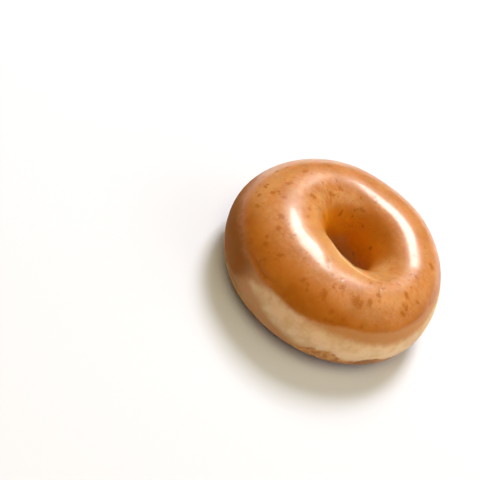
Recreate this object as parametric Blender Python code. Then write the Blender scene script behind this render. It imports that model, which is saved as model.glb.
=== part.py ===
"""A mini glazed ring doughnut, one solid, lying flat on its base.

Metres, +Z up. The origin is on the table, under the middle of the ring.
Directions around the ring are angles from the front (-Y), turning towards +X.
Directions around the tube of dough are angles from its outermost line, rising to the crown,
then over into the hole and back under the base.
"""

import math

import bpy

MM = 0.001

# Driving dimensions of the ring
OUTER_RADIUS = 31.0 * MM
HEIGHT = 23.62 * MM
CROWN_RADIUS = 17.88 * MM
NECK_RADIUS = 6.57 * MM
EQUATOR_HEIGHT = 10.65 * MM
NECK_HEIGHT = 10.85 * MM
FLAT_INNER_RADIUS = 14.9 * MM
FLAT_OUTER_RADIUS = 20.4 * MM

# How full each quarter of the tube is: 2 is an ellipse, more is squarer
FULLNESS_OUTER_TOP = 1.94
FULLNESS_HOLE_TOP = 2.16
FULLNESS_HOLE_BOTTOM = 2.00
FULLNESS_OUTER_BOTTOM = 2.17

# Unevenness: ovals and corners are shares of the radius, each with its place around the ring
OUTLINE_OVAL, OUTLINE_OVAL_AT = 0.0217, math.radians(27.6)
OUTLINE_CORNERS, OUTLINE_CORNERS_AT = 0.0094, math.radians(45.2)
CREST_SHIFT, CREST_SHIFT_AT = 0.59 * MM, math.radians(124.9)
CREST_OVAL, CREST_OVAL_AT = 0.71 * MM, math.radians(-56.2)
HOLE_OVAL, HOLE_OVAL_AT = 0.1503, math.radians(57.8)
HOLE_SHIFT_X = 1.98 * MM
HOLE_SHIFT_Y = 0.55 * MM
TOP_LEAN, TOP_LEAN_AT = 0.0489, math.radians(-77.5)

# Swells of the crust: share of the height, waves around the ring, waves around the tube, start
SWELL_HEIGHT = 0.16 * MM
SWELLS = (
    (0.22, 5, 1, 0.9),
    (0.22, 5, -1, 1.7),
    (0.35, 7, 2, 0.6),
    (0.30, 4, -3, 2.2),
)

# The crease low on the side, where the crust of the underside ends in a small roll
CREASE_DEPTH = 0.34 * MM
CREASE_LOW = math.radians(-16)
CREASE_WAVER = math.radians(5)
CREASE_WIDTH = math.radians(6)
SKIRT_HEIGHT = 0.22 * MM
SKIRT_BELOW = 2.2 * CREASE_WIDTH
SKIRT_WIDTH = 1.6 * CREASE_WIDTH

# Soft folds of the crust that run into the hole, in two places around the ring
FOLD_HEIGHT = 0.12 * MM
FOLDS_AT = (math.radians(-97), math.radians(50))
FOLDS_REACH = math.radians(34)
FOLDS_MIDDLE = math.radians(122)
FOLDS_SPREAD = math.radians(26)
FOLDS_START = math.radians(94)
FOLDS_FADE = math.radians(22)
FOLD_COUNT = 18

# The mesh: steps around the ring and around the tube. Two tube steps make the flat base
RING_STEPS = 100
TUBE_STEPS = 48
FLAT_HALF_ANGLE = 2 * math.pi / TUBE_STEPS
FADE_ANGLE = math.radians(30)
QUARTER = math.pi / 2

CRUST_COLOUR = (0.52, 0.22, 0.062, 1.0)
CRUST_ROUGHNESS = 0.3


def clear_scene():
    """Removes whatever the start-up scene holds."""
    for obj in list(bpy.data.objects):
        bpy.data.objects.remove(obj)


def smooth(share):
    """0 below 0, 1 above 1 and a soft step between."""
    share = min(max(share, 0.0), 1.0)
    return share * share * (3.0 - 2.0 * share)


def bump(distance, width):
    """A soft hill, 1 at its middle."""
    return math.exp(-((distance / width) ** 2))


def turned(angle):
    """The same direction as an angle between minus and plus half a turn."""
    return (angle + math.pi) % (2 * math.pi) - math.pi


def quarter_arc(turn, fullness):
    """A superellipse quarter: (1, 0) at turn 0 and (0, 1) at a quarter turn."""
    across = max(math.cos(turn), 0.0) ** (2.0 / fullness)
    along = max(math.sin(turn), 0.0) ** (2.0 / fullness)
    return across, along


def section_point(tube):
    """Radius and height of the even section at an angle around the tube, 0 to a full turn."""
    if tube <= QUARTER:
        across, along = quarter_arc(tube, FULLNESS_OUTER_TOP)
        radius = CROWN_RADIUS + (OUTER_RADIUS - CROWN_RADIUS) * across
        return radius, EQUATOR_HEIGHT + (HEIGHT - EQUATOR_HEIGHT) * along
    if tube <= 2 * QUARTER:
        across, along = quarter_arc(2 * QUARTER - tube, FULLNESS_HOLE_TOP)
        radius = CROWN_RADIUS - (CROWN_RADIUS - NECK_RADIUS) * across
        return radius, NECK_HEIGHT + (HEIGHT - NECK_HEIGHT) * along
    flat_start = 3 * QUARTER - FLAT_HALF_ANGLE
    flat_end = 3 * QUARTER + FLAT_HALF_ANGLE
    if tube < flat_start:
        turn = (tube - 2 * QUARTER) / (flat_start - 2 * QUARTER) * QUARTER
        across, along = quarter_arc(turn, FULLNESS_HOLE_BOTTOM)
        radius = FLAT_INNER_RADIUS - (FLAT_INNER_RADIUS - NECK_RADIUS) * across
        return radius, NECK_HEIGHT * (1.0 - along)
    if tube > flat_end:
        turn = (4 * QUARTER - tube) / (4 * QUARTER - flat_end) * QUARTER
        across, along = quarter_arc(turn, FULLNESS_OUTER_BOTTOM)
        radius = FLAT_OUTER_RADIUS + (OUTER_RADIUS - FLAT_OUTER_RADIUS) * across
        return radius, EQUATOR_HEIGHT * (1.0 - along)
    share = (tube - flat_start) / (flat_end - flat_start)
    return FLAT_INNER_RADIUS + (FLAT_OUTER_RADIUS - FLAT_INNER_RADIUS) * share, 0.0


def section_normal(tube):
    """Outward direction of the even section, as radius and height."""
    step = 0.002
    before = section_point((tube - step) % (4 * QUARTER))
    after = section_point((tube + step) % (4 * QUARTER))
    run = after[0] - before[0]
    rise = after[1] - before[1]
    length = math.hypot(run, rise)
    return rise / length, -run / length


def swell_relief(around, tube):
    """Long low swells left by the rising dough."""
    waves = [share * math.sin(rings * around + tubes * tube + start) for share, rings, tubes, start in SWELLS]
    return SWELL_HEIGHT * sum(waves)


def crease_relief(around, tube):
    """The crease low on the side, deeper in some places, and the small roll of crust below it."""
    crease_at = CREASE_LOW + CREASE_WAVER * math.sin(2 * around + 0.94) + 0.4 * CREASE_WAVER * math.sin(5 * around)
    depth_here = 0.55 + 0.45 * math.sin(around - 2.2) * math.sin(2 * around + 0.4)
    above = turned(tube) - crease_at
    crease = depth_here * bump(above, CREASE_WIDTH)
    skirt = bump(above + SKIRT_BELOW, SKIRT_WIDTH)
    return SKIRT_HEIGHT * skirt - CREASE_DEPTH * crease


def fold_relief(around, tube):
    """Folds that run into the hole from just below the crown, strongest at the two places around the ring."""
    here = sum(bump(turned(around - place), FOLDS_REACH) for place in FOLDS_AT)
    waves = math.sin(FOLD_COUNT * around + 0.8 * math.sin(3 * around))
    reach = bump(tube - FOLDS_MIDDLE, FOLDS_SPREAD) * smooth((tube - FOLDS_START) / FOLDS_FADE)
    return FOLD_HEIGHT * here * reach * waves


def relief(around, tube):
    """How far the crust stands off the even section, fading out over the flat base."""
    from_flat = abs(tube - 3 * QUARTER) - FLAT_HALF_ANGLE
    off = swell_relief(around, tube) + crease_relief(around, tube) + fold_relief(around, tube)
    return off * smooth(from_flat / FADE_ANGLE)


def doughnut_point(around, tube):
    """The crust's place at an angle around the ring and one around the tube."""
    radius, height = section_point(tube)
    out, up = section_normal(tube)
    off = relief(around, tube)
    radius += out * off
    height += up * off

    oval = OUTLINE_OVAL * math.cos(2 * (around - OUTLINE_OVAL_AT))
    corners = OUTLINE_CORNERS * math.cos(3 * (around - OUTLINE_CORNERS_AT))
    outward = min(max((radius - NECK_RADIUS) / (OUTER_RADIUS - NECK_RADIUS), 0.0), 1.0)
    crest = CREST_SHIFT * math.cos(around - CREST_SHIFT_AT) + CREST_OVAL * math.cos(2 * (around - CREST_OVAL_AT))
    radius = radius * (1.0 + (oval + corners) * outward) + crest * 4.0 * outward * (1.0 - outward)

    inward = smooth((OUTER_RADIUS - radius) / (OUTER_RADIUS - NECK_RADIUS))
    radius *= 1.0 + HOLE_OVAL * math.cos(2 * (around - HOLE_OVAL_AT)) * inward
    height *= 1.0 + TOP_LEAN * math.cos(around - TOP_LEAN_AT)
    x = radius * math.sin(around) + HOLE_SHIFT_X * inward
    y = -radius * math.cos(around) + HOLE_SHIFT_Y * inward
    return x, y, height


def crust_material():
    """Fried dough under a thin sugar glaze."""
    material = bpy.data.materials.new("glazed_crust")
    material.use_nodes = True
    shader = material.node_tree.nodes["Principled BSDF"]
    shader.inputs["Base Color"].default_value = CRUST_COLOUR
    shader.inputs["Roughness"].default_value = CRUST_ROUGHNESS
    shader.inputs["Metallic"].default_value = 0.0
    return material


def shape_ring(mesh, torus_radius):
    """Moves each point of the torus to its place on the doughnut."""
    for vertex in mesh.vertices:
        x, y, z = vertex.co
        around = math.atan2(x, -y)
        tube = math.atan2(z, math.hypot(x, y) - torus_radius) % (2 * math.pi)
        vertex.co = doughnut_point(around, tube)


def centre_on_origin(mesh):
    """Puts the middle of the outline over the origin and the base on the table."""
    points = [vertex.co for vertex in mesh.vertices]
    middle_x = (min(p.x for p in points) + max(p.x for p in points)) / 2
    middle_y = (min(p.y for p in points) + max(p.y for p in points)) / 2
    base = min(p.z for p in points)
    for vertex in mesh.vertices:
        vertex.co.x -= middle_x
        vertex.co.y -= middle_y
        vertex.co.z -= base


def build_doughnut():
    """The whole doughnut: a torus whose section and outline become those of the baked ring."""
    torus_radius = (OUTER_RADIUS + NECK_RADIUS) / 2
    bpy.ops.mesh.primitive_torus_add(
        major_segments=RING_STEPS,
        minor_segments=TUBE_STEPS,
        major_radius=torus_radius,
        minor_radius=(OUTER_RADIUS - NECK_RADIUS) / 2,
    )
    doughnut = bpy.context.object
    doughnut.name = "doughnut"
    doughnut.data.name = "doughnut"
    shape_ring(doughnut.data, torus_radius)
    centre_on_origin(doughnut.data)
    doughnut.data.shade_smooth()
    doughnut.data.materials.append(crust_material())
    return doughnut


def main():
    clear_scene()
    collection = bpy.data.collections.new("mini_glazed_doughnut")
    bpy.context.scene.collection.children.link(collection)
    doughnut = build_doughnut()
    for owner in list(doughnut.users_collection):
        owner.objects.unlink(doughnut)
    collection.objects.link(doughnut)


main()
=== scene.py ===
# %% [markdown]
# A mini glazed ring doughnut. It is a small ring of yeast dough that was fried on both sides, so
# that its top and its underside browned and a pale band stayed round its waist, and then went under
# a curtain of warm sugar glaze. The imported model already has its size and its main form. Here the
# same form is worked out again as a much finer surface, with the marks that frying and glazing
# leave, and it is given its colours, its gloss and its light.

import bpy
import numpy as np
from mathutils import Matrix, Vector


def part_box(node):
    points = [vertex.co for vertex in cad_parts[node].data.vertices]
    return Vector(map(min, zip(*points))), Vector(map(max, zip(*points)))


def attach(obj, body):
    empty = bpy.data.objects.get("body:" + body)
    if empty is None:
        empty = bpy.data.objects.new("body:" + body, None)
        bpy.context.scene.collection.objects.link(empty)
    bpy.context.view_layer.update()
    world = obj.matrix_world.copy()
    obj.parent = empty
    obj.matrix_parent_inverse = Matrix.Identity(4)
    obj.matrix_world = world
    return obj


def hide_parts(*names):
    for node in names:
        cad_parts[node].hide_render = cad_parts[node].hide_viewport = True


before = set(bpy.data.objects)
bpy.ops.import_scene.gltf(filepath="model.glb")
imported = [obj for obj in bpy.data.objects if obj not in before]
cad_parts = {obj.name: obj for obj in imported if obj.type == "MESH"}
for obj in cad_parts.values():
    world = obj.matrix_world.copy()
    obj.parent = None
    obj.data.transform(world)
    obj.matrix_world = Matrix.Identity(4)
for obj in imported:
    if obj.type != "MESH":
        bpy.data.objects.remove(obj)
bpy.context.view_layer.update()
dough_low, dough_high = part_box("doughnut")
print("packed doughnut from", tuple(dough_low), "to", tuple(dough_high))

# %% [markdown]
# Lengths are written in millimetres and turned to metres by one factor, and angles in degrees.
# A hill and a soft step are the two shapes that nearly every mark on the crust is made from: a
# hill is one at its middle and fades on both sides, and a step goes from zero to one without a
# corner, so light runs over both without a hard edge.

# %% Units, the hill and the soft step
MM = 0.001
DEG = np.pi / 180
FULL = 2 * np.pi
QUARTER = np.pi / 2


def hill(distance, width):
    """e to the minus (distance / width) squared: 1 at the middle, 0.37 one width away."""
    return np.exp(-((distance / width) ** 2))


def step(share):
    """3 s² - 2 s³ of the share held between 0 and 1: a soft rise from 0 to 1."""
    share = np.clip(share, 0.0, 1.0)
    return share * share * (3.0 - 2.0 * share)


def turned(angle):
    """The same direction as an angle between minus and plus half a turn."""
    return (angle + np.pi) % FULL - np.pi


# %% [markdown]
# The cut through the dough. Two angles name every place on the ring. The ring angle starts at the
# front and turns to the right, and the tube angle starts on the outermost line, rises over the
# crown, goes down into the hole and comes back under the base. The cut is four superellipse
# quarters joined by a flat foot. A superellipse is an ellipse whose power is a little over two,
# which gives the slightly full shoulders of dough that rose in hot oil. The values are the packed
# model's own, so the fine surface lies on it.

# %% The even cut
OUTER_RADIUS, NECK_RADIUS = 31.0 * MM, 6.57 * MM
HEIGHT, CROWN_RADIUS = 23.62 * MM, 17.88 * MM
EQUATOR_HEIGHT, NECK_HEIGHT = 10.65 * MM, 10.85 * MM
FOOT_INNER, FOOT_OUTER = 14.9 * MM, 20.4 * MM
FULL_OUTER_TOP, FULL_HOLE_TOP, FULL_HOLE_BASE, FULL_OUTER_BASE = 1.94, 2.16, 2.00, 2.17
PACKED_TUBE_STEPS = 48
FOOT_HALF_ANGLE = FULL / PACKED_TUBE_STEPS


def quarter_arc(turn, fullness):
    """Cosine and sine of the turn, each to the power 2 / fullness: a superellipse quarter."""
    turn = np.clip(turn, 0.0, QUARTER)
    return np.cos(turn) ** (2.0 / fullness), np.sin(turn) ** (2.0 / fullness)


def even_cut(tube):
    """Radius and height at a tube angle from 0 to a full turn: one superellipse quarter after another."""
    foot_start, foot_end = 3 * QUARTER - FOOT_HALF_ANGLE, 3 * QUARTER + FOOT_HALF_ANGLE
    hole_share = (tube - 2 * QUARTER) / (foot_start - 2 * QUARTER)
    side_share = (4 * QUARTER - tube) / (4 * QUARTER - foot_end)
    foot_share = (tube - foot_start) / (foot_end - foot_start)
    out_1, up_1 = quarter_arc(tube, FULL_OUTER_TOP)
    out_2, up_2 = quarter_arc(2 * QUARTER - tube, FULL_HOLE_TOP)
    out_3, up_3 = quarter_arc(hole_share * QUARTER, FULL_HOLE_BASE)
    out_4, up_4 = quarter_arc(side_share * QUARTER, FULL_OUTER_BASE)
    where = [tube <= QUARTER, tube <= 2 * QUARTER, tube < foot_start, tube > foot_end]
    radius = np.select(where, [
        CROWN_RADIUS + (OUTER_RADIUS - CROWN_RADIUS) * out_1,
        CROWN_RADIUS - (CROWN_RADIUS - NECK_RADIUS) * out_2,
        FOOT_INNER - (FOOT_INNER - NECK_RADIUS) * out_3,
        FOOT_OUTER + (OUTER_RADIUS - FOOT_OUTER) * out_4,
    ], FOOT_INNER + (FOOT_OUTER - FOOT_INNER) * foot_share)
    height = np.select(where, [
        EQUATOR_HEIGHT + (HEIGHT - EQUATOR_HEIGHT) * up_1,
        NECK_HEIGHT + (HEIGHT - NECK_HEIGHT) * up_2,
        NECK_HEIGHT * (1.0 - up_3),
        EQUATOR_HEIGHT * (1.0 - up_4),
    ], 0.0 * tube)
    return radius, height


def cut_outward(tube, reach=0.002):
    """Outward direction of the cut: the run and rise between two near places, turned a quarter."""
    radius_a, height_a = even_cut((tube - reach) % FULL)
    radius_b, height_b = even_cut((tube + reach) % FULL)
    run, rise = radius_b - radius_a, height_b - height_a
    length = np.hypot(run, rise)
    return rise / length, -run / length


# %% [markdown]
# The grid. The surface is a sheet of points, one row for each ring angle and one column for each
# tube angle, closed both ways. Equal tube angles would crowd the points in the hole, so the columns
# are spaced by length along the cut instead, a little wider apart underneath, where nothing fine
# shows. Rows by columns by two stays just under 200,000 triangles.

# %% Ring and tube angles of the grid
RING_ROWS, TUBE_COLUMNS = 512, 194
CUT_SAMPLES = 4001
UNDERSIDE_SPACING = 1.6
UNDERSIDE_FROM, UNDERSIDE_TO, UNDERSIDE_FADE = 200 * DEG, 335 * DEG, 20 * DEG

fine = np.linspace(0.0, FULL, CUT_SAMPLES)
fine_radius, fine_height = even_cut(fine)
lengths = np.hypot(np.diff(fine_radius), np.diff(fine_height))
middle = (fine[:-1] + fine[1:]) / 2
below_side = step((middle - UNDERSIDE_FROM) / UNDERSIDE_FADE)
underneath = below_side * step((UNDERSIDE_TO - middle) / UNDERSIDE_FADE)
weights = lengths / (1.0 + (UNDERSIDE_SPACING - 1.0) * underneath)
travelled = np.concatenate([[0.0], np.cumsum(weights)])
columns = np.interp(np.arange(TUBE_COLUMNS) / TUBE_COLUMNS * travelled[-1], travelled, fine)
rows = np.arange(RING_ROWS) / RING_ROWS * FULL
ring, tube = np.meshgrid(rows, columns, indexing="ij")
print("cut is", round(lengths.sum() / MM, 1), "mm round,", ring.size * 2, "triangles")

# %% [markdown]
# The big unevenness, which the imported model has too: low swells where the dough rose more, a crease
# low on the side where the crust of the underside ends in a small roll, and a few folds that run
# into the hole, left where the ring was stretched over a finger or a hook. Each is a hill or a wave
# in the two angles, pushed out along the cut's outward direction.

# %% Swells, crease and folds
SWELL_HEIGHT = 0.16 * MM
# Share of the height, waves round the ring, waves round the tube, start
SWELLS = ((0.22, 5, 1, 0.9), (0.22, 5, -1, 1.7), (0.35, 7, 2, 0.6), (0.30, 4, -3, 2.2))
CREASE_DEPTH, CREASE_MEAN, CREASE_CHANGE = 0.34 * MM, 0.55, 0.45
CREASE_LOW, CREASE_WAVER, CREASE_WIDTH = -16 * DEG, 5 * DEG, 6 * DEG
SKIRT_HEIGHT, SKIRT_BELOW, SKIRT_WIDTH = 0.22 * MM, 2.2 * CREASE_WIDTH, 1.6 * CREASE_WIDTH
FOLD_HEIGHT, FOLD_COUNT = 0.12 * MM, 18
FOLDS_AT, FOLDS_REACH = (-97 * DEG, 50 * DEG), 34 * DEG
FOLDS_MIDDLE, FOLDS_SPREAD = 122 * DEG, 26 * DEG
FOLDS_START, FOLDS_FADE = 94 * DEG, 22 * DEG
FOOT_FADE = 30 * DEG


def crease_line(ring):
    """Tube angle of the crease: a low line with a slow and a quicker wave in it."""
    slow, quick = np.sin(2 * ring + 0.94), np.sin(5 * ring)
    return CREASE_LOW + CREASE_WAVER * slow + 0.4 * CREASE_WAVER * quick


def folds_near(ring):
    """1 at each of the two places with folds, and 0 between them."""
    return sum(hill(turned(ring - place), FOLDS_REACH) for place in FOLDS_AT)


def dough_relief(ring, tube):
    """Four crossing waves, minus a hill for the crease, plus a hill for the roll and waves for folds."""
    swell = SWELL_HEIGHT * sum(a * np.sin(n * ring + m * tube + p) for a, n, m, p in SWELLS)
    above = turned(tube) - crease_line(ring)
    depth_here = CREASE_MEAN + CREASE_CHANGE * np.sin(ring - 2.2) * np.sin(2 * ring + 0.4)
    crease = CREASE_DEPTH * depth_here * hill(above, CREASE_WIDTH)
    skirt = SKIRT_HEIGHT * hill(above + SKIRT_BELOW, SKIRT_WIDTH)
    folds = np.sin(FOLD_COUNT * ring + 0.8 * np.sin(3 * ring)) * hill(tube - FOLDS_MIDDLE, FOLDS_SPREAD)
    folds *= step((tube - FOLDS_START) / FOLDS_FADE)
    return swell - crease + skirt + FOLD_HEIGHT * folds_near(ring) * folds


def off_the_foot(tube):
    """0 over the flat foot, so that it stays flat, and 1 from 30 degrees beyond it."""
    return step((np.abs(tube - 3 * QUARTER) - FOOT_HALF_ANGLE) / FOOT_FADE)


# %% [markdown]
# The hand of the baker. A cut ring is never a true circle: its outline is slightly oval with
# rounded corners, the hole is a longer oval and sits off the middle, the crown follows it part of
# the way, and one side stands a little higher. All of these are single, double or triple waves
# around the ring, scaled by how far in or out a point is.

# %% From the two angles to a place
OUTLINE_OVAL, OUTLINE_OVAL_AT = 0.0217, 27.6 * DEG
OUTLINE_CORNERS, OUTLINE_CORNERS_AT = 0.0094, 45.2 * DEG
CREST_SHIFT, CREST_SHIFT_AT = 0.59 * MM, 124.9 * DEG
CREST_OVAL, CREST_OVAL_AT = 0.71 * MM, -56.2 * DEG
HOLE_OVAL, HOLE_OVAL_AT = 0.1503, 57.8 * DEG
HOLE_SHIFT_X, HOLE_SHIFT_Y = 1.98 * MM, 0.55 * MM
TOP_LEAN, TOP_LEAN_AT = 0.0489, -77.5 * DEG


def doughnut_place(ring, tube, relief):
    """The cut plus its relief, made oval, shifted and leaned, then swung round to the ring angle."""
    radius, height = even_cut(tube)
    out, up = cut_outward(tube)
    radius, height = radius + out * relief, height + up * relief
    span = OUTER_RADIUS - NECK_RADIUS
    outward = np.clip((radius - NECK_RADIUS) / span, 0.0, 1.0)
    uneven = OUTLINE_OVAL * np.cos(2 * (ring - OUTLINE_OVAL_AT))
    uneven += OUTLINE_CORNERS * np.cos(3 * (ring - OUTLINE_CORNERS_AT))
    crest = CREST_SHIFT * np.cos(ring - CREST_SHIFT_AT)
    crest += CREST_OVAL * np.cos(2 * (ring - CREST_OVAL_AT))
    crest *= 4.0 * outward * (1.0 - outward)
    radius = radius * (1.0 + uneven * outward) + crest
    inward = step((OUTER_RADIUS - radius) / span)
    radius = radius * (1.0 + HOLE_OVAL * np.cos(2 * (ring - HOLE_OVAL_AT)) * inward)
    height = height * (1.0 + TOP_LEAN * np.cos(ring - TOP_LEAN_AT))
    x = radius * np.sin(ring) + HOLE_SHIFT_X * inward
    y = -radius * np.cos(ring) + HOLE_SHIFT_Y * inward
    return np.stack([x, y, height], axis=-1)


plain = doughnut_place(ring, tube, dough_relief(ring, tube) * off_the_foot(tube))
crust_points = plain.reshape(-1, 3)
print("plain form spans", np.round(np.ptp(crust_points, axis=0) / MM, 2), "mm")

# %% [markdown]
# Where the browning ends. The glaze and the browned crust of the top stop at a wavy line above the
# waist. It climbs to the right, where a light tan zone lies between the brown and the pale band. At
# the left that zone widens and darkens into a flank of browned dough under painted shade, which
# leaves only a narrow pale band below it. The browned crust of the underside stops at the crease,
# with a ragged patch that reaches higher at the front. Each line could be a painted mask, but a tube
# angle as a function of the ring angle is easier to move, and it gives each point of the mesh its
# distance from the line, so that the material can fray the edge later.

# %% The glaze line and the zones of colour
# Each pair is a ring angle with a tube angle or a width there, in degrees
GLAZE_EDGE = (
    (-180, 25), (-150, 24), (-120, 27), (-95, 30), (-75, 30), (-55, 29), (-45, 27), (-35, 23),
    (-26, 23), (-20, 26), (-10, 26), (0, 25), (5, 27), (10, 30), (20, 33), (30, 34), (50, 34),
    (60, 33), (70, 35), (80, 37), (95, 39), (110, 36), (130, 32), (155, 28),
)
TAN_WIDTH = (
    (-180, 0), (-150, 3), (-120, 14), (-95, 34), (-80, 46), (-60, 48), (-50, 44), (-44, 38),
    (-38, 28), (-33, 18), (-26, 9), (-17, 2), (0, 1), (8, 4), (20, 11), (30, 14), (48, 17),
    (58, 16), (70, 13), (85, 10), (110, 7), (140, 3),
)
LOW_TAN_EDGE = (
    (-180, -20), (-120, -18), (-60, 10), (-45, 14), (-38, 13), (-30, 11), (-20, 4), (-10, -4),
    (0, -10), (10, -14), (25, -13), (38, -12), (50, -11), (60, -10), (70, -9), (85, -9),
    (110, -12), (150, -18),
)
BASE_EDGE = (
    (-180, -16), (-150, -9), (-125, -17), (-60, -21), (-30, -25), (0, -25), (8, -19), (11, -8),
    (15, -3), (17, -7), (21, 1), (24, -4), (28, -13), (33, -16), (38, -10), (42, -6), (46, -6),
    (50, -9), (55, -16), (62, -21), (84, -16), (110, -20), (140, -10),
)
GLAZE_WAVES = ((0.6, 12, 2.1), (0.5, 19, 0.0))
BASE_WAVES = ((0.8, 17, 1.0), (0.6, 29, 0.0))
CORNER_REACH = 2.0
HOLE_LINE, HOLE_BAND = 205 * DEG, 22 * DEG
BROWNING_FADE = 8 * DEG
FLANK_FROM, FLANK_TO, FLANK_FADE = -26 * DEG, -135 * DEG, 16 * DEG


def around(table, ring):
    """The table's tube angle on straight lines between its ring angles, a mean of three near places."""
    at, values = np.array(table, dtype=float).T
    shifts = (-CORNER_REACH, 0.0, CORNER_REACH)
    before, here, after = (np.interp(ring / DEG + shift, at, values, period=360) for shift in shifts)
    return DEG * (before + 2.0 * here + after) / 4


def quick_waves(waves, ring):
    """The sum of sines round the ring, each with its height in degrees, its count and its start."""
    return DEG * sum(height * np.sin(count * ring + start) for height, count, start in waves)


def glaze_line(ring):
    """Tube angle where the browned top ends: the table's line with small quick waves."""
    return around(GLAZE_EDGE, ring) + quick_waves(GLAZE_WAVES, ring)


def base_line(ring):
    """Tube angle where the browned base ends: the table's line with small quick waves."""
    return around(BASE_EDGE, ring) + quick_waves(BASE_WAVES, ring)


inner = (tube > QUARTER) & (tube < 3 * QUARTER)
outer_tube = turned(tube)
side = turned(ring)
above_line = np.where(inner, HOLE_LINE - tube, outer_tube - glaze_line(ring))
above_tan = np.where(inner, HOLE_LINE - tube, above_line + around(TAN_WIDTH, ring))
below_tan = np.where(inner, tube - HOLE_LINE, around(LOW_TAN_EDGE, ring) - outer_tube)
below_base = np.where(inner, tube - HOLE_LINE - HOLE_BAND, base_line(ring) - outer_tube)
browned_top = step(0.5 + above_line / BROWNING_FADE)
flank = step((FLANK_FROM - side) / FLANK_FADE) * step((side - FLANK_TO) / (2 * FLANK_FADE))
print("glaze line between", round(glaze_line(rows).min() / DEG, 1), "and",
      round(glaze_line(rows).max() / DEG, 1), "degrees up the side")

# %% [markdown]
# The skin under the glaze. Glaze that dries over fried skin is faintly rippled, and the bare skin
# below it is grainy. Both could be a bump pattern only, but a real dent turns the highlight and
# shows on the outline, so all but the finest grain is shaped in the mesh. Many sine waves in random
# directions, each as high as it is long, add up to such a surface without any repeat.

# %% Ripples of the glaze
chance = np.random.default_rng(19)
RIPPLE_HEIGHT = 0.010 * MM
RIPPLE_LENGTHS = (4.0 * MM, 12.0 * MM)
RIPPLE_COUNT = 36


def crossing_waves(places, count, shortest, longest):
    """The sum of sines along random directions, each as high as it is long, with a mean square of one."""
    directions = chance.normal(size=(count, 3))
    directions /= np.linalg.norm(directions, axis=1, keepdims=True)
    wave_lengths = np.exp(chance.uniform(np.log(shortest), np.log(longest), count))
    starts = chance.uniform(0.0, FULL, count)
    heights = wave_lengths / np.sqrt((wave_lengths ** 2).sum() / 2)
    phases = places @ (directions * (FULL / wave_lengths)[:, None]).T + starts
    return np.sin(phases) @ heights


ripples = RIPPLE_HEIGHT * crossing_waves(crust_points, RIPPLE_COUNT, *RIPPLE_LENGTHS)
ripples = ripples.reshape(ring.shape)
print("ripples reach", round(np.abs(ripples).max() / MM, 3), "mm")

# %% [markdown]
# The roll of the crown. Soft dough settles as it cools, and its top leans a little one way here and
# the other way there. That is at most half a millimetre, too low to see as a form, but a glossy
# glaze shows it at once, because it moves the streaks of light. A bump would move them too, but only
# in the picture and not in the bare mesh. The roll is a soft saw tooth round the ring, which turns
# the surface the same way along most of a side. A flatter stretch then lets the right streak run
# on, and a slope at the end of each streak lets it come to a point.

# %% The roll of the crown
ROLL_HEIGHT, ROLL_AT, ROLL_SLOPE, ROLL_REACH = 0.30 * MM, 95 * DEG, 10 * DEG, 75 * DEG
ROLL_TUBE, ROLL_SPREAD = 100 * DEG, 34 * DEG
FLAT_HEIGHT, FLAT_AT, FLAT_REACH = 0.33 * MM, 107 * DEG, 18 * DEG
FLAT_NARROW, FLAT_WIDE = 20 * DEG, 45 * DEG
TIP_SLOPE, TIP_SPREAD = 0.42 * MM, 25 * DEG
TIP_LEFT_AT, TIP_LEFT_REACH = -76 * DEG, 14 * DEG

from_roll, from_top = turned(ring - ROLL_AT), tube - ROLL_TUBE
saw_tooth = ROLL_HEIGHT * np.tanh(from_roll / ROLL_SLOPE) * hill(from_roll, ROLL_REACH)
crown_roll = saw_tooth * hill(from_top, ROLL_SPREAD)
flat_here = hill(turned(ring - FLAT_AT), FLAT_REACH)
crown_roll += FLAT_HEIGHT * flat_here * (hill(from_top, FLAT_WIDE) - hill(from_top, FLAT_NARROW))
tip_here = flat_here + hill(turned(ring - TIP_LEFT_AT), TIP_LEFT_REACH)
crown_roll += TIP_SLOPE * tip_here * from_top * hill(from_top, TIP_SPREAD)
print("crown roll reaches", round(np.abs(crown_roll).max() / MM, 2), "mm")

# %% [markdown]
# The near edge of the hole. Glaze that ran into the hole gathered along its front edge and left a
# thin raised lip, which catches the light, and a fine pale line is painted on it as a painted
# highlight. A broader pale glow along the near rim is painted light too. Beside it the dough has a
# small notch, which is darkened as painted shade. The lip is a hill across a line that is drawn like
# the glaze line, and the notch is one round hill turned inwards.

# %% The lip of the hole and its notch
LIP_EDGE = (
    (-180, 118), (-60, 124), (-30, 122), (-8, 118), (0, 114), (10, 112), (20, 108), (33, 104),
    (45, 100), (90, 100),
)
LIP_HEIGHT, LIP_WIDTH, LIP_AT, LIP_REACH = 0.05 * MM, 1.9 * DEG, 2 * DEG, 34 * DEG
RIM_TUBE, RIM_SPREAD, RIM_REACH = 113 * DEG, 14 * DEG, 1.5 * LIP_REACH
NOTCH_DEPTH, NOTCH_AT, NOTCH_REACH = 0.45 * MM, 22 * DEG, 5.5 * DEG
NOTCH_TUBE, NOTCH_SPREAD = 127 * DEG, 10 * DEG

lip = hill(tube - around(LIP_EDGE, ring), LIP_WIDTH) * hill(side - LIP_AT, LIP_REACH)
rim_glow = hill(tube - RIM_TUBE, RIM_SPREAD) * hill(side - LIP_AT, RIM_REACH)
notch = hill(side - NOTCH_AT, NOTCH_REACH) * hill(tube - NOTCH_TUBE, NOTCH_SPREAD)
hole_shape = crown_roll + LIP_HEIGHT * lip - NOTCH_DEPTH * notch
print("notch is", round(NOTCH_DEPTH * notch.max() / MM, 2), "mm deep")

# %% [markdown]
# Fine wrinkles. Where the ring was stretched, at both long sides of the hole, its skin puckered into
# wrinkles that run into the hole, waver, and die out. A plain wave would look combed, so its phase
# wanders with both angles, and a second wave breaks it off in places. The bare dough of the waist
# has a dry grainy skin instead, which nearly vanishes under the glaze.

# %% Wrinkles and the grain of the bare skin
WRINKLE_HEIGHT, WRINKLE_COUNT = 0.05 * MM, 37
BREAK_COUNT, FINER_COUNT, FINER_SHARE = 23, 71, 0.4
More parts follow.
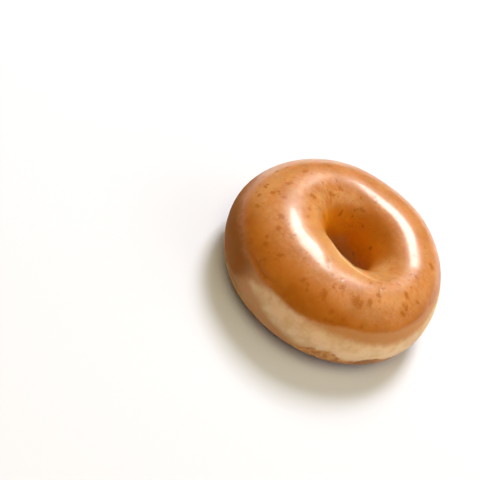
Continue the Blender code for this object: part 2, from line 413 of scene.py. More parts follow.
# Height, waves round the tube, waves round the ring
WANDER = ((2.4, 2.3, 3), (1.5, 5, -2))
WRINKLES_REACH, WRINKLES_TUBE, WRINKLES_SPREAD = (22 * DEG, 20 * DEG), (122 * DEG, 108 * DEG), 14 * DEG
SKIN_HEIGHT, SKIN_COUNT, SKIN_LENGTHS = 0.012 * MM, 48, (0.9 * MM, 2.4 * MM)
SKIN_UNDER_GLAZE = 0.12

wander = sum(a * np.sin(m * tube + n * ring) for a, m, n in WANDER)
into_hole = np.sin(WRINKLE_COUNT * ring + wander) * np.sin(1.7 * wander + BREAK_COUNT * ring)
into_hole += FINER_SHARE * np.sin(FINER_COUNT * ring - 1.3 * wander)
wrinkled = sum(
    hill(turned(ring - at), reach) * hill(tube - middle_tube, WRINKLES_SPREAD)
    for at, reach, middle_tube in zip(FOLDS_AT, WRINKLES_REACH, WRINKLES_TUBE)
)
wrinkles = WRINKLE_HEIGHT * into_hole * wrinkled
skin = SKIN_HEIGHT * crossing_waves(crust_points, SKIN_COUNT, *SKIN_LENGTHS).reshape(ring.shape)
skin = skin * (SKIN_UNDER_GLAZE + (1.0 - SKIN_UNDER_GLAZE) * (1.0 - browned_top))
print("wrinkles reach", round(np.abs(wrinkles).max() / MM, 3), "mm")

# %% [markdown]
# Pits and blisters. Steam breaks out of frying dough through small pits, and elsewhere it only lifts
# the skin into a blister. The larger pits have their own places in a short list, as ring angle, tube
# angle and radius in millimetres, and each has a few companions near it, because pits come in
# clusters. The rest are scattered by a seeded rule. Each is a round hill, stretched along a random
# direction, and a pit has a faint rim round it.

# %% Places and sizes of the marks
MARKS = (
    (25, 63, 1.0), (28, 61, 0.7), (-55, 72, 0.8), (-93, 109, 0.8), (-85, 137, 0.9), (102, 71, 0.8),
    (6, 56, 0.8), (-74, 77, 0.7), (-111, 79, 0.6), (-72, 106, 0.6), (63, 75, 0.7), (-90, 77, 0.7),
    (42, 114, 0.6), (-39, 48, 0.7), (-77, 65, 0.7), (14, 44, 0.7), (34, 66, 0.7), (-28, 16, 0.6),
    (-75, 50, 0.7), (45, 99, 0.6), (16, 35, 0.6), (40, 77, 0.6), (57, 52, 0.6), (-28, 55, 0.6),
    (14, 72, 0.7), (-8, 55, 0.6), (-46, 65, 0.7), (55, 102, 0.6), (60, 58, 0.6), (-100, 53, 0.6),
    (-3, 49, 0.5), (-66, 50, 0.6), (-83, 54, 0.6), (70, 58, 0.5), (9, 67, 0.5), (-107, 58, 0.5),
    (-43, 52, 0.5), (82, 87, 0.5), (-79, 70, 0.5), (-134, 112, 0.6), (-119, 119, 0.7), (-135, 76, 0.8),
)
COMPANIONS, COMPANION_SPREAD = 3, 1.1 * MM
SCATTERED = 150
LOWEST_SPOT, LIFT_OF_LOW_SPOTS, SPOT_MARGIN = 200 * DEG, 130 * DEG, 5 * DEG
MARK_RADII, MARK_LENGTHS = (0.30 * MM, 0.60 * MM), (1.0, 2.0)


def random_angles(count):
    """Ring and tube angles spread evenly over the browned top and the hole, the lowest ones lifted up."""
    spots_ring = chance.uniform(0.0, FULL, count)
    spots_tube = np.interp(chance.uniform(0.0, 1.0, count), travelled / travelled[-1], fine)
    spots_tube = np.where(spots_tube > LOWEST_SPOT, spots_tube - LIFT_OF_LOW_SPOTS, spots_tube)
    return spots_ring, np.maximum(spots_tube, glaze_line(spots_ring) + SPOT_MARGIN)


named = np.array(MARKS)
named_places = doughnut_place(named[:, 0] * DEG, named[:, 1] * DEG, 0.0 * named[:, 0])
companions = np.repeat(named_places, COMPANIONS, axis=0)
companions = companions + chance.normal(0.0, COMPANION_SPREAD, companions.shape)
scattered_ring, scattered_tube = random_angles(SCATTERED)
scattered = doughnut_place(scattered_ring, scattered_tube, 0.0 * scattered_ring)
marks = np.concatenate([named_places, companions, scattered])
small_radii = chance.uniform(*MARK_RADII, len(companions) + len(scattered))
mark_radii = np.concatenate([named[:, 2] * MM, small_radii])
mark_kinds = np.concatenate([np.zeros(len(named)), chance.uniform(0.0, 1.0, len(small_radii))])
mark_lengths = chance.uniform(*MARK_LENGTHS, len(marks))
mark_directions = chance.normal(size=(len(marks), 3))
mark_directions /= np.linalg.norm(mark_directions, axis=1, keepdims=True)
print(len(marks), "marks,", int((mark_kinds == 0.0).sum()), "of them at places from the list")

# %% Pits and blisters
PIT_DEPTH, PIT_WIDTH, PIT_SHARE = 0.024 * MM, 0.8, 0.75
PIT_RIM, PIT_RIM_AT, PIT_RIM_WIDTH = 0.1, 1.35, 0.45
BLISTER_HEIGHT, BLISTER_WIDTH = 0.004 * MM, 1.1
DAB_WIDTH, DAB_CHANGE = 1.15, 0.3
MARK_CUBE = 4.0


def inside_cube(middle, half_width):
    """The numbers of the crust's points less than a half width from a place along each axis."""
    return np.flatnonzero(np.abs(crust_points - middle).max(axis=1) < half_width)


pits = np.zeros(len(crust_points))
dabs = np.zeros(len(crust_points))
for place, radius, kind, length, direction in zip(
        marks, mark_radii, mark_kinds, mark_lengths, mark_directions):
    close = inside_cube(place, MARK_CUBE * radius)
    offset = crust_points[close] - place
    stretch = (1.0 - length ** -2) * (offset @ direction) ** 2
    apart = np.sqrt(np.maximum((offset ** 2).sum(axis=1) - stretch, 0.0)) / radius
    if kind < PIT_SHARE:
        pit_rim = PIT_RIM * hill(apart - PIT_RIM_AT, PIT_RIM_WIDTH)
        pits[close] -= PIT_DEPTH * (hill(apart, PIT_WIDTH) - pit_rim)
        dabs[close] = np.maximum(dabs[close], hill(apart, DAB_WIDTH) * (1.0 - DAB_CHANGE * kind))
    else:
        pits[close] += BLISTER_HEIGHT * hill(apart, BLISTER_WIDTH)
pits, dabs = pits.reshape(ring.shape), dabs.reshape(ring.shape)
print("deepest pit", round(-pits.min() / MM, 3), "mm")

# %% [markdown]
# Nicks. Beside the hole the skin also tore in short shallow nicks, which the glaze only half filled.
# They are darkened as painted shade, so that they show as thin dark strokes. Each runs in a straight
# line from one ring and tube angle to another, as deep as a hill of its distance from that line, and
# half as deep at its two ends.

# %% Nicks beside the hole
NICKS = (
    (36, 111, 43, 108), (42, 101, 45, 94), (64, 120, 66, 109), (61, 95, 63, 90), (42, 90, 41, 79),
    (63, 76, 64, 68), (59, 105, 66, 104), (48, 112, 54, 116), (50, 104, 53, 99), (70, 116, 72, 106),
    (-89, 137, -88, 146), (-118, 122, -116, 130), (-101, 120, -98, 127), (-88, 120, -88, 126),
    (-80, 128, -76, 122), (-26, 112, -28, 107), (26, 71, 27, 60), (29, 66, 28, 59),
)
NICK_DEPTH, NICK_WIDTH, NICK_CUBE = 0.05 * MM, 0.32 * MM, 4

nick_ends = np.array(NICKS) * DEG
no_relief = 0.0 * nick_ends[:, 0]
starts = doughnut_place(nick_ends[:, 0], nick_ends[:, 1], no_relief)
ends = doughnut_place(nick_ends[:, 2], nick_ends[:, 3], no_relief)
nicks = np.zeros(len(crust_points))
for start, end in zip(starts, ends):
    run = end - start
    close = inside_cube((start + end) / 2, np.abs(run).max() + NICK_CUBE * NICK_WIDTH)
    offset = crust_points[close] - start
    share = np.clip(offset @ run / (run @ run), 0.0, 1.0)
    apart = np.linalg.norm(offset - share[:, None] * run, axis=1) / NICK_WIDTH
    nicks[close] = np.maximum(nicks[close], hill(apart, 1.0) * (0.5 + 0.5 * np.sin(np.pi * share)))
nicks = nicks.reshape(ring.shape)
print(len(NICKS), "nicks")

# %% [markdown]
# The end of the glaze. Warm glaze runs down the side and sets as a film about a tenth of a
# millimetre thick, so there is a low rounded step at its edge with a slight bead on it. On the left
# flank it thins out instead. At the front left, and once at the back, a shallow groove lies just
# above the edge, where the film slid and folded before it set.

# %% The step of the glaze and its groove
GLAZE_THICKNESS, THINNER_ON_FLANK = 0.10 * MM, 0.8
BEAD_SHARE, BEAD_ABOVE, BEAD_WIDTH = 0.5, 3 * DEG, 4 * DEG
GROOVE_DEPTH, GROOVE_WIDTH = 0.16 * MM, 1.9 * DEG
GROOVE_ABOVE, GROOVE_WAVER = 9 * DEG, 3 * DEG
# Share of the depth, ring angle, reach
GROOVES = ((1.0, -27 * DEG, 12 * DEG), (0.6, 165 * DEG, 16 * DEG))

bead = BEAD_SHARE * hill(above_line - BEAD_ABOVE, BEAD_WIDTH)
glaze_relief = GLAZE_THICKNESS * (1.0 - THINNER_ON_FLANK * flank) * (browned_top + bead)
groove_line = glaze_line(ring) + GROOVE_ABOVE + GROOVE_WAVER * np.sin(2.0 * ring)
groove_here = sum(share * hill(turned(ring - at), reach) for share, at, reach in GROOVES)
groove = hill(outer_tube - groove_line, GROOVE_WIDTH) * groove_here
skin_relief = hole_shape - NICK_DEPTH * nicks + ripples + wrinkles + skin + pits
fine_relief = (skin_relief + glaze_relief - GROOVE_DEPTH * groove) * off_the_foot(tube)
print("fine relief from", round(fine_relief.min() / MM, 2), "to", round(fine_relief.max() / MM, 2), "mm")

# %% [markdown]
# One closed mesh. Each grid cell becomes a four-sided face whose corners are taken in the order
# that faces outwards, and the last row and column join the first ones. The finished form is set
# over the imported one, foot on the table, and scaled by a hair so that the fine relief stays within
# its box.

# %% The crust as one mesh
whole_relief = dough_relief(ring, tube) * off_the_foot(tube) + fine_relief
places = doughnut_place(ring, tube, whole_relief).reshape(-1, 3)
low, high = places.min(axis=0), places.max(axis=0)
box_low, box_high = np.array(dough_low), np.array(dough_high)
fit = (box_high - box_low) / (high - low)
places = box_low + (places - low) * fit
print("fitted to the packed box by", np.round(fit, 4))

index = np.arange(ring.size).reshape(ring.shape)
next_row, next_column = np.roll(index, -1, axis=0), np.roll(index, -1, axis=1)
diagonal = np.roll(next_row, -1, axis=1)
faces = np.stack([index, next_row, diagonal, next_column], axis=-1).reshape(-1, 4)


def closed_mesh(name, places, faces):
    """A mesh of four-sided faces from two arrays, put in with foreach_set, smooth shaded."""
    mesh = bpy.data.meshes.new(name)
    mesh.vertices.add(len(places))
    mesh.vertices.foreach_set("co", places.astype(np.float32).ravel())
    mesh.loops.add(faces.size)
    mesh.loops.foreach_set("vertex_index", faces.astype(np.int32).ravel())
    mesh.polygons.add(len(faces))
    mesh.polygons.foreach_set("loop_start", np.arange(0, faces.size, 4, dtype=np.int32))
    mesh.update(calc_edges=True)
    mesh.validate()
    mesh.shade_smooth()
    return mesh


def enclosed_volume(places, faces):
    """A sixth of the sum of the triple products of each triangle's corners: positive if it faces out."""
    first, second, third, fourth = (places[faces[:, k]] for k in range(4))
    halves = ((second, third), (third, fourth))
    return sum(np.einsum("ij,ij->", first, np.cross(a, b)) for a, b in halves) / 6


crust_mesh = closed_mesh("glazed_crust", places, faces)
crust = bpy.data.objects.new("glazed_crust", crust_mesh)
bpy.context.scene.collection.objects.link(crust)
print("volume", round(enclosed_volume(places, faces) * 1e6, 2), "cm3, faces", len(crust_mesh.polygons))

# %% [markdown]
# What the material has to know. The colour of fried and glazed dough follows its form: it depends on
# how far a point is inside the glaze, the tan zone or the browned base, how deep it is in the hole,
# and whether it is in a pit, a nick or the groove. An image could hold that, but it would need an
# unwrapped mesh and would be as coarse as its pixels. Here each zone is one number for each point,
# kept on the mesh as an attribute. A distance from a line is in millimetres, so that its edge can be
# frayed by a real length. The sugar adds two zones of its own. One is a cloudy film where the glaze
# set thick, on the crown and down into the hole, which also carries painted light: the crown is
# painted paler where the key light falls. The other is the hollow below it, where the glaze ran thin,
# painted a glowing orange as painted light that bounces in the hole.

# %% The cloudy film and the hollow of the hole, with their painted light
# The film is milky glaze and also painted light: the crown is painted paler where the key light falls
FILM_FROM = (
    (-180, 34), (-130, 28), (-95, 30), (-75, 34), (-50, 42), (-20, 46), (0, 46), (14, 44),
    (30, 34), (46, 28), (70, 30), (95, 38), (130, 38),
)
FILM_RISE, FILM_DEPTH = 26 * DEG, 136 * DEG
# Extra depth, ring angle, reach
FILM_UNEVEN = ((8 * DEG, -110 * DEG, 50 * DEG), (-6 * DEG, 155 * DEG, 40 * DEG))
DEEP_FILM, DEEP_FILM_AT, DEEP_FILM_REACH = 30 * DEG, 64 * DEG, 32 * DEG
# Pale patches painted on the glaze as painted sheen of the lamps
# Ring angle, tube angle, reach round the ring, reach round the tube, in degrees
PALE_SPOTS = (
    (48, 71, 15, 13), (-85, 57, 24, 15), (8, 100, 40, 12), (-94, 120, 26, 13), (-148, 126, 24, 9),
    (68, 138, 26, 22),
)
HOLLOW_FROM, HOLLOW_RISE = 122 * DEG, 38 * DEG
HOLLOW_TO, HOLLOW_FALL = HOLE_LINE + 20 * DEG, 30 * DEG
HIDDEN_BY_FILM = 0.6

deep_film = hill(turned(ring - DEEP_FILM_AT), DEEP_FILM_REACH)
film_depth = FILM_DEPTH + DEEP_FILM * deep_film
film_depth += sum(depth * hill(turned(ring - at), reach) for depth, at, reach in FILM_UNEVEN)
film_top = np.where(inner, film_depth - tube, outer_tube - around(FILM_FROM, ring))
lit_sugar_film = step(film_top / FILM_RISE)
pale_sheen = sum(
    hill(turned(ring - at * DEG), along * DEG) * hill(outer_tube - up * DEG, across * DEG)
    for at, up, along, across in PALE_SPOTS
)
hollow = step((tube - HOLLOW_FROM) / HOLLOW_RISE) * step((HOLLOW_TO - tube) / HOLLOW_FALL)
hollow = hollow * (1.0 - HIDDEN_BY_FILM * deep_film)
print("film on", round(100 * float((lit_sugar_film > 0.5).mean())), "% of the points")

# %% Zones as attributes of the mesh
# One radian of tube angle is about this many millimetres along the side
MM_PER_RADIAN = 13.2
SOFTER_ON_FLANK = 0.75
# Where the base is darkened by painted shade at its foot
BASE_SHADE_AT, BASE_SHADE_REACH = 42 * DEG, 11 * DEG

zones = {
    "above_line": above_line * MM_PER_RADIAN * (1.0 - SOFTER_ON_FLANK * flank),
    "above_tan": above_tan * MM_PER_RADIAN,
    "below_tan": below_tan * MM_PER_RADIAN,
    "below_base": below_base * MM_PER_RADIAN,
    "flank": flank,
    "base_shade": hill(side - BASE_SHADE_AT, BASE_SHADE_REACH),
    "lit_sugar_film": lit_sugar_film,
    "pale_sheen": pale_sheen,
    "hollow": hollow,
    "dabs": dabs * browned_top,
    "groove": groove,
    # Lows of the wrinkles, darkened later as painted shade
    "wrinkle_shade": np.clip(-wrinkles / WRINKLE_HEIGHT, 0.0, 1.0),
    "nicks": nicks,
    "rim_glow": rim_glow,
    "lip": lip,
    "notch": notch,
}
for name, values in zones.items():
    attribute = crust_mesh.attributes.new(name, "FLOAT", "POINT")
    attribute.data.foreach_set("value", values.astype(np.float32).ravel())
print(len(zones), "zones on the mesh")

# %% [markdown]
# The finish is fried yeast dough under poured sugar glaze. The crust browned in hot oil to a deep
# orange brown and stayed cream coloured at the waist, and light enters it a millimetre or two and
# comes out warmer, so it has subsurface scattering. The glaze is clear set sugar, with an index of
# refraction of about 1.5, like any glassy sugar. It is a coat over the crust, and gives a clear
# lacquer reflection over the broad sheen of the crust itself. Colours are hex values turned from
# sRGB to linear light by one function, and each pattern's scale is one over its real size.

# %% Colour and node helpers
def linear(hex_colour):
    """Each channel c becomes c / 12.92 when dark, or ((c + 0.055) / 1.055) to the power 2.4."""
    channels = np.array([int(hex_colour[k:k + 2], 16) / 255 for k in (1, 3, 5)])
    light = np.where(channels <= 0.04045, channels / 12.92, ((channels + 0.055) / 1.055) ** 2.4)
    return (*map(float, light), 1.0)


def add_node(tree, kind, links=None, **settings):
    """Adds a node. Each link is input: value or another node's output, and settings are its own."""
    node = tree.nodes.new(kind)
    for name, value in settings.items():
        setattr(node, name, value)
    for name, value in (links or {}).items():
        if isinstance(value, bpy.types.NodeSocket):
            tree.links.new(value, node.inputs[name])
        else:
            node.inputs[name].default_value = value
    return node


# %% Fried yeast dough under poured sugar glaze
finish = bpy.data.materials.new("fried_dough_under_sugar_glaze")
finish.use_nodes = True
tree = finish.node_tree
tree.nodes.clear()
on_object = add_node(tree, "ShaderNodeTexCoord").outputs["Object"]


def zone(name):
    """The zone's value at each point, read from the mesh."""
    return add_node(tree, "ShaderNodeAttribute", attribute_name=name).outputs["Fac"]


def pattern(size, detail=2.0, roughness=0.5):
    """A cloudy pattern from 0 to 1 whose patches are about the given size across."""
    links = {"Vector": on_object, "Scale": 1.0 / size, "Detail": detail, "Roughness": roughness}
    return add_node(tree, "ShaderNodeTexNoise", links).outputs["Fac"]


def between(value, low, high, to_low=0.0, to_high=1.0):
    """The value's share of the way from low to high, as a soft step from one result to the other."""
    links = {"Value": value, "From Min": low, "From Max": high, "To Min": to_low, "To Max": to_high}
    return add_node(tree, "ShaderNodeMapRange", links, interpolation_type="SMOOTHSTEP").outputs["Result"]


def product(first, second):
    """The first value times the second."""
    return add_node(tree, "ShaderNodeMath", {0: first, 1: second}, operation="MULTIPLY").outputs[0]


def times_plus(value, factor, added):
    """The value times the factor, plus what is added."""
    links = {0: value, 1: factor, 2: added}
    return add_node(tree, "ShaderNodeMath", links, operation="MULTIPLY_ADD").outputs[0]


def blend_colour(share, first, second):
    """The first colour where the share is 0 and the second where it is 1."""
    node = add_node(tree, "ShaderNodeMix", data_type="RGBA", clamp_factor=True)
    # Inputs 0, 6 and 7 of this node are its share and its two colours, and output 2 is the blend
    for socket, value in ((node.inputs[0], share), (node.inputs[6], first), (node.inputs[7], second)):
        if isinstance(value, str):
            socket.default_value = linear(value)
        else:
            tree.links.new(value, socket)
    return node.outputs[2]


# %% [markdown]
# Colours of the glaze. Over the browned crust clear sugar looks deep orange brown. Clouds a few
# millimetres wide make it lighter and darker. The cloudy film greys it to a milky tan, partly set
# glaze and partly painted key light on the crown. The hollow is painted a glowing orange as painted
# light that bounces in the hole, and a few pale patches are painted sheen. Dabs and specks are dark,
# as sugar pools in them over scorched dough. The nicks, the lows of the wrinkles, the groove and the
# notch are darkened as painted shade in their hollows. The rim and the lip are painted pale as
# painted light and a painted highlight. A ragged edge is the distance from a line plus a cloudy
# pattern, put through a soft step.

# %% Colours of the glaze
GLAZE_DEEP, GLAZE_LIGHT = "#A25D0D", "#B06A1E"
LIT_FILM_DEEP, LIT_FILM_PALE, PALE_SHEEN_COLOUR = "#AC7440", "#BB8553", "#D0A06C"
HOLE_GLOW_COLOUR, DAB_AND_SHADE_COLOUR = "#CA780C", "#9A5604"
# Painted light on the near rim and a painted highlight on the lip
RIM_GLOW_COLOUR, LIP_HIGHLIGHT_COLOUR = "#CA9C62", "#F2D2B0"
CLOUD_SIZE, MOTTLE_SIZE, ORANGE_SIZE = 6.5 * MM, 1.1 * MM, 2.0 * MM
SPECK_SIZE, SPECK_GROUP_SIZE, DAB_GRAIN_SIZE = 0.8 * MM, 5.0 * MM, 0.6 * MM
PALE_SHEEN_SHARE, ORANGE_SHARE, SPECK_SHARE, DAB_SHARE = 0.42, 0.45, 0.6, 0.85
DAB_RAGGEDNESS = 1.3
# Painted shade in the groove, the wrinkles, the nicks and the notch, painted light on the rim and a
# painted highlight on the lip
PAINTED_LIGHT_AND_SHADE = (
    ("groove", 0.55, DAB_AND_SHADE_COLOUR),
    ("wrinkle_shade", 0.5, DAB_AND_SHADE_COLOUR),
    ("nicks", 0.85, DAB_AND_SHADE_COLOUR),
    ("rim_glow", 0.6, RIM_GLOW_COLOUR),
    ("lip", 0.8, LIP_HIGHLIGHT_COLOUR),
    ("notch", 0.9, DAB_AND_SHADE_COLOUR),
)

glaze_clouds = between(pattern(CLOUD_SIZE, 3.0, 0.6), 0.35, 0.68)
clear_colour = blend_colour(glaze_clouds, GLAZE_DEEP, GLAZE_LIGHT)
# The hollow is painted a glowing orange: painted light bouncing in the hole
clear_colour = blend_colour(zone("hollow"), clear_colour, HOLE_GLOW_COLOUR)
lit_film_colour = blend_colour(glaze_clouds, LIT_FILM_DEEP, LIT_FILM_PALE)
film_mottle = between(pattern(MOTTLE_SIZE, 4.0, 0.7), 0.36, 0.64, 0.5, 1.0)
glaze_colour = blend_colour(product(zone("lit_sugar_film"), film_mottle), clear_colour, lit_film_colour)
# Painted sheen in pale patches
glaze_colour = blend_colour(product(zone("pale_sheen"), PALE_SHEEN_SHARE), glaze_colour, PALE_SHEEN_COLOUR)

orange_clouds = between(pattern(ORANGE_SIZE, 3.0, 0.65), 0.46, 0.68)
glaze_colour = blend_colour(product(orange_clouds, ORANGE_SHARE), glaze_colour, GLAZE_LIGHT)
speck_groups = between(pattern(SPECK_GROUP_SIZE, 1.0), 0.44, 0.62)
specks = product(between(pattern(SPECK_SIZE, 2.0, 0.6), 0.56, 0.70), speck_groups)
glaze_colour = blend_colour(product(specks, SPECK_SHARE), glaze_colour, DAB_AND_SHADE_COLOUR)
dabbed = between(times_plus(pattern(DAB_GRAIN_SIZE, 2.0), DAB_RAGGEDNESS, zone("dabs")), 0.85, 1.5)
glaze_colour = blend_colour(product(dabbed, DAB_SHARE), glaze_colour, DAB_AND_SHADE_COLOUR)
for name, share, colour in PAINTED_LIGHT_AND_SHADE:
    glaze_colour = blend_colour(product(zone(name), share), glaze_colour, colour)
print("glaze colours use", len(tree.nodes), "nodes so far")

# %% [markdown]
# Colours of the bare dough. The waist floated above the oil, so it stayed pale, cream coloured with
# warmer clouds. Above it lies the light tan zone, which turns to a dark brown on the left flank,
# partly browned dough and partly painted shade. Below it lies the browned base with its darker
# patches, darkest at the front right, where painted shade stands for the shade at its foot. The
# glaze goes over the dough, and the base over both, each with a frayed edge.

# %% Colours of the bare dough and of the whole crust
DOUGH_PALE, DOUGH_WARM = "#D6B68F", "#C9A377"
TAN_COLOUR, FLANK_BROWN_AND_SHADE = "#B2783E", "#884E10"
BASE_BROWN, BASE_DARK, BASE_SHADE_COLOUR = "#C48C4E", "#9E6026", "#84501E"
FRAY_SIZE, DOUGH_CLOUD_SIZE, BASE_CLOUD_SIZE = 1.6 * MM, 4.0 * MM, 2.2 * MM
LOW_TAN_SHARE, TAN_SHARE, BASE_SHADE_SHARE = 0.85, 0.9, 0.85

fray = times_plus(pattern(FRAY_SIZE, 4.0, 0.6), 1.0, -0.5)


def edge(name, fraying, softness):
    """0 outside a zone and 1 inside it: its distance in mm plus a cloudy pattern, through a soft step."""
    return between(times_plus(fray, fraying, zone(name)), -softness, softness)


dough_clouds = between(pattern(DOUGH_CLOUD_SIZE, 4.0, 0.6), 0.38, 0.66)
dough_colour = blend_colour(dough_clouds, DOUGH_PALE, DOUGH_WARM)
# The tan zone darkens on the left flank into browned dough with painted shade
tan_and_flank_shade = blend_colour(zone("flank"), TAN_COLOUR, FLANK_BROWN_AND_SHADE)
dough_colour = blend_colour(product(edge("below_tan", 2.0, 1.8), LOW_TAN_SHARE), dough_colour, tan_and_flank_shade)
browned = edge("above_tan", 1.5, 1.4)
dough_colour = blend_colour(product(browned, TAN_SHARE), dough_colour, tan_and_flank_shade)
dough_colour = blend_colour(product(browned, zone("flank")), dough_colour, FLANK_BROWN_AND_SHADE)
base_clouds = between(pattern(BASE_CLOUD_SIZE, 4.0, 0.65), 0.40, 0.62)
base_colour = blend_colour(base_clouds, BASE_BROWN, BASE_DARK)
# Painted shade on the base at the front right, where it meets the table
base_colour = blend_colour(product(zone("base_shade"), BASE_SHADE_SHARE), base_colour, BASE_SHADE_COLOUR)

glazed = edge("above_line", 1.0, 0.6)
crust_colour = blend_colour(glazed, dough_colour, glaze_colour)
crust_colour = blend_colour(edge("below_base", 2.4, 0.6), crust_colour, base_colour)

# %% [markdown]
# Gloss and depth. The coat of sugar lies on the glazed part only, and is thinner over dabs and nicks
# and in the hollow, so that those look duller. Bare dough is rougher than glaze, and the dry flank
# at the left is quite matt: any gloss there would mirror the table as a pale veil. Red light goes
# furthest into the dough and blue the least, which warms the shade in the hole. The real grain of
# the skin, about a tenth of a millimetre, is too fine to show, so it is drawn about half a
# millimetre coarse.

# %% Gloss, depth and fine bump
SCATTER_RADIUS = (1.0, 0.40, 0.14)
SCATTER_LENGTH = 5.0 * MM
GRAIN_SIZE, GRAIN_HEIGHT, GRAIN_STRENGTH = 0.45 * MM, 0.02 * MM, 0.35
SHEEN_SIZE, SHEEN_SHARP, SHEEN_BROAD = 3.0 * MM, 0.34, 0.42
DRY_ROUGHER, FLANK_FACTOR = 0.20, 2.6
COAT_WEIGHT = 0.38
COAT_KEPT = ((dabbed, 0.35), (zone("nicks"), 0.4), (zone("hollow"), 0.3))

grain = {"Strength": GRAIN_STRENGTH, "Distance": GRAIN_HEIGHT, "Height": pattern(GRAIN_SIZE, 2.0, 0.5)}
bump = add_node(tree, "ShaderNodeBump", grain)
glaze_roughness = between(pattern(SHEEN_SIZE, 2.0), 0.3, 0.7, SHEEN_SHARP, SHEEN_BROAD)
dry_roughness = between(glazed, 0.0, 1.0, DRY_ROUGHER, 0.0)
flank_factor = between(zone("flank"), 0.0, 1.0, 1.0, FLANK_FACTOR)
roughness = times_plus(dry_roughness, flank_factor, glaze_roughness)
coat_weight = between(glazed, 0.0, 1.0, 0.0, COAT_WEIGHT)
for mark, kept in COAT_KEPT:
    coat_weight = product(coat_weight, between(mark, 0.0, 1.0, 1.0, kept))
shader = add_node(tree, "ShaderNodeBsdfPrincipled", {
    "Base Color": crust_colour,
    "Roughness": roughness,
    "IOR": 1.47,
    "Specular IOR Level": 0.40,
    "Subsurface Weight": 1.0,
    "Subsurface Radius": SCATTER_RADIUS,
    "Subsurface Scale": SCATTER_LENGTH,
    "Coat Weight": coat_weight,
    "Coat Roughness": 0.13,
    "Coat IOR": 1.5,
    "Normal": bump.outputs["Normal"],
})
add_node(tree, "ShaderNodeOutputMaterial", {"Surface": shader.outputs["BSDF"]})
crust_mesh.materials.append(finish)
print(finish.name, "has", len(tree.nodes), "nodes")

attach(crust, "root")
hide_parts("doughnut")

# %% [markdown]
# A plain pale table of matt paper, which gives an even white ground without a reflection. It is far
# wider than the doughnut, so its edge is never seen.

# %% The table
TABLE_HALF = 3.0
PAPER_COLOUR, PAPER_ROUGHNESS = "#CBCEDC", 0.9

table_mesh = bpy.data.meshes.new("table")
table_corners = [(x * TABLE_HALF, y * TABLE_HALF, 0.0) for x, y in ((-1, -1), (1, -1), (1, 1), (-1, 1))]
table_mesh.from_pydata(table_corners, [], [(0, 1, 2, 3)])
table = bpy.data.objects.new("table", table_mesh)
bpy.context.scene.collection.objects.link(table)
paper = bpy.data.materials.new("matte_white_paper")
paper.use_nodes = True
paper_shader = paper.node_tree.nodes["Principled BSDF"]
paper_shader.inputs["Base Color"].default_value = linear(PAPER_COLOUR)
paper_shader.inputs["Roughness"].default_value = PAPER_ROUGHNESS
table_mesh.materials.append(paper)

# %% [markdown]
# The light. One soft box high behind the ring draws the two long streaks on the crown, as in a food
# studio, and a weaker and wider halo softens their edges. The side that faces us falls into a warm
# half shade. Large fills stand where a pale room has its walls and its ceiling, and the room's own
# light is kept low, so that the hole keeps its depth. A glossy glaze would draw each fill as one
# more streak, so all but one are left out of reflections. Fills are square and have a name, a
# direction, a width, a power, a colour and whether the glaze mirrors them.

# %% Soft boxes and room light
STUDIO_WHITE, WARM_FILL = "#FFFFFF", "#FFEEBC"
BOX_DISTANCE, FILL_DISTANCE = 0.9, 1.2
KEY_DIRECTION = (-0.09, 0.577, 0.812)
KEY_WIDTH, KEY_DEPTH, KEY_POWER, KEY_OFFSET, KEY_TURN = 0.268, 0.34, 8.1, (-0.0285, 0.06), -8 * DEG
HALO_WIDTH, HALO_DEPTH, HALO_POWER, HALO_OFFSET = 0.42, 0.36, 1.4, (0.04, -0.03)
FILLS = (
    ("right_wall", (0.94, 0.10, 0.35), 1.3, 5.4, STUDIO_WHITE, False),
    ("back_left_wall", (-0.66, 0.66, 0.40), 1.3, 2.2, WARM_FILL, False),
    ("front_top", (0.0, -0.40, 0.92), 0.8, 9.4, WARM_FILL, False),
    ("top_right", (0.55, 0.0, 0.83), 0.9, 2.4, WARM_FILL, True),
    ("low_right", (0.85, -0.45, 0.12), 0.8, 3.7, STUDIO_WHITE, False),
)
ROOM_STRENGTH = 0.02


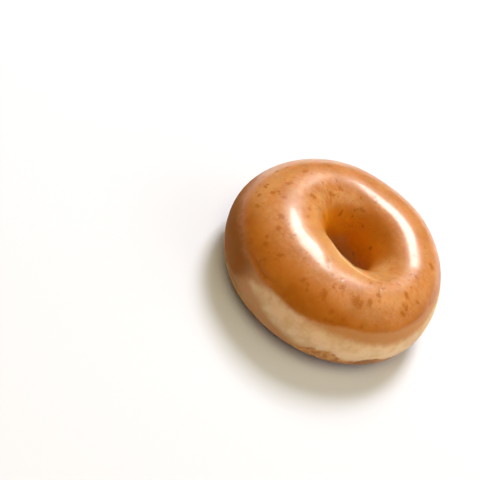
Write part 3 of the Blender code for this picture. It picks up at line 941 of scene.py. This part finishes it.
def soft_box(name, direction, distance, width, depth, power, colour=STUDIO_WHITE,
             offset=(0, 0), turn=0, mirrored=True):
    """A rectangle of light that faces the doughnut, moved and turned in its own plane."""
    data = bpy.data.lights.new(name, "AREA")
    data.shape = "RECTANGLE"
    data.size, data.size_y = width, depth
    data.energy = power
    data.color = linear(colour)[:3]
    box = bpy.data.objects.new(name, data)
    towards = Vector(direction).normalized()
    facing = towards.to_track_quat("Z", "Y").to_matrix()
    box_place = towards * distance + facing @ Vector((*offset, 0))
    box_turn = facing @ Matrix.Rotation(turn, 3, "Z")
    box.matrix_world = Matrix.Translation(box_place) @ box_turn.to_4x4()
    box.visible_glossy = mirrored
    bpy.context.scene.collection.objects.link(box)


soft_box("key", KEY_DIRECTION, BOX_DISTANCE, KEY_WIDTH, KEY_DEPTH, KEY_POWER,
         offset=KEY_OFFSET, turn=KEY_TURN)
soft_box("key_halo", KEY_DIRECTION, BOX_DISTANCE, HALO_WIDTH, HALO_DEPTH, HALO_POWER,
         offset=HALO_OFFSET)
for name, direction, width, power, colour, mirrored in FILLS:
    soft_box(name, direction, FILL_DISTANCE, width, width, power, colour, mirrored=mirrored)

room = bpy.data.worlds.new("room")
room.use_nodes = True
room_light = room.node_tree.nodes["Background"]
room_light.inputs["Color"].default_value = linear(STUDIO_WHITE)
room_light.inputs["Strength"].default_value = ROOM_STRENGTH
bpy.context.scene.world = room
bpy.context.scene.view_settings.view_transform = "Standard"
print(2 + len(FILLS), "soft boxes")

# %% [markdown]
# The camera looks down from the front and is rolled, so that the ring sits in the picture at the
# same tilt as the real one. Its place, the point it aims at and its roll are three plain values, and
# its three axes follow from them: forward, right and up.

# %% Camera
SENSOR, LENS = 36.0, 77.61
CAMERA_PLACE = Vector((2.51, -203.37, 203.16)) * MM
CAMERA_AIM = Vector((-22.70, -15.28, 12.4)) * MM
CAMERA_ROLL = 26.7 * DEG
CLIP_START = 0.01

forward = (CAMERA_AIM - CAMERA_PLACE).normalized()
level_right = forward.cross(Vector((0, 0, 1))).normalized()
level_up = level_right.cross(forward)
right = level_right * float(np.cos(CAMERA_ROLL)) + level_up * float(np.sin(CAMERA_ROLL))
up = right.cross(forward)
camera_turn = Matrix((right, up, -forward)).transposed()
camera_data = bpy.data.cameras.new("camera")
camera_data.lens = LENS
camera_data.sensor_width = SENSOR
camera_data.clip_start = CLIP_START
camera = bpy.data.objects.new("camera", camera_data)
camera.matrix_world = Matrix.Translation(CAMERA_PLACE) @ camera_turn.to_4x4()
bpy.context.scene.collection.objects.link(camera)
bpy.context.scene.camera = camera
print("camera is", round((CAMERA_AIM - CAMERA_PLACE).length / MM), "mm from what it looks at")
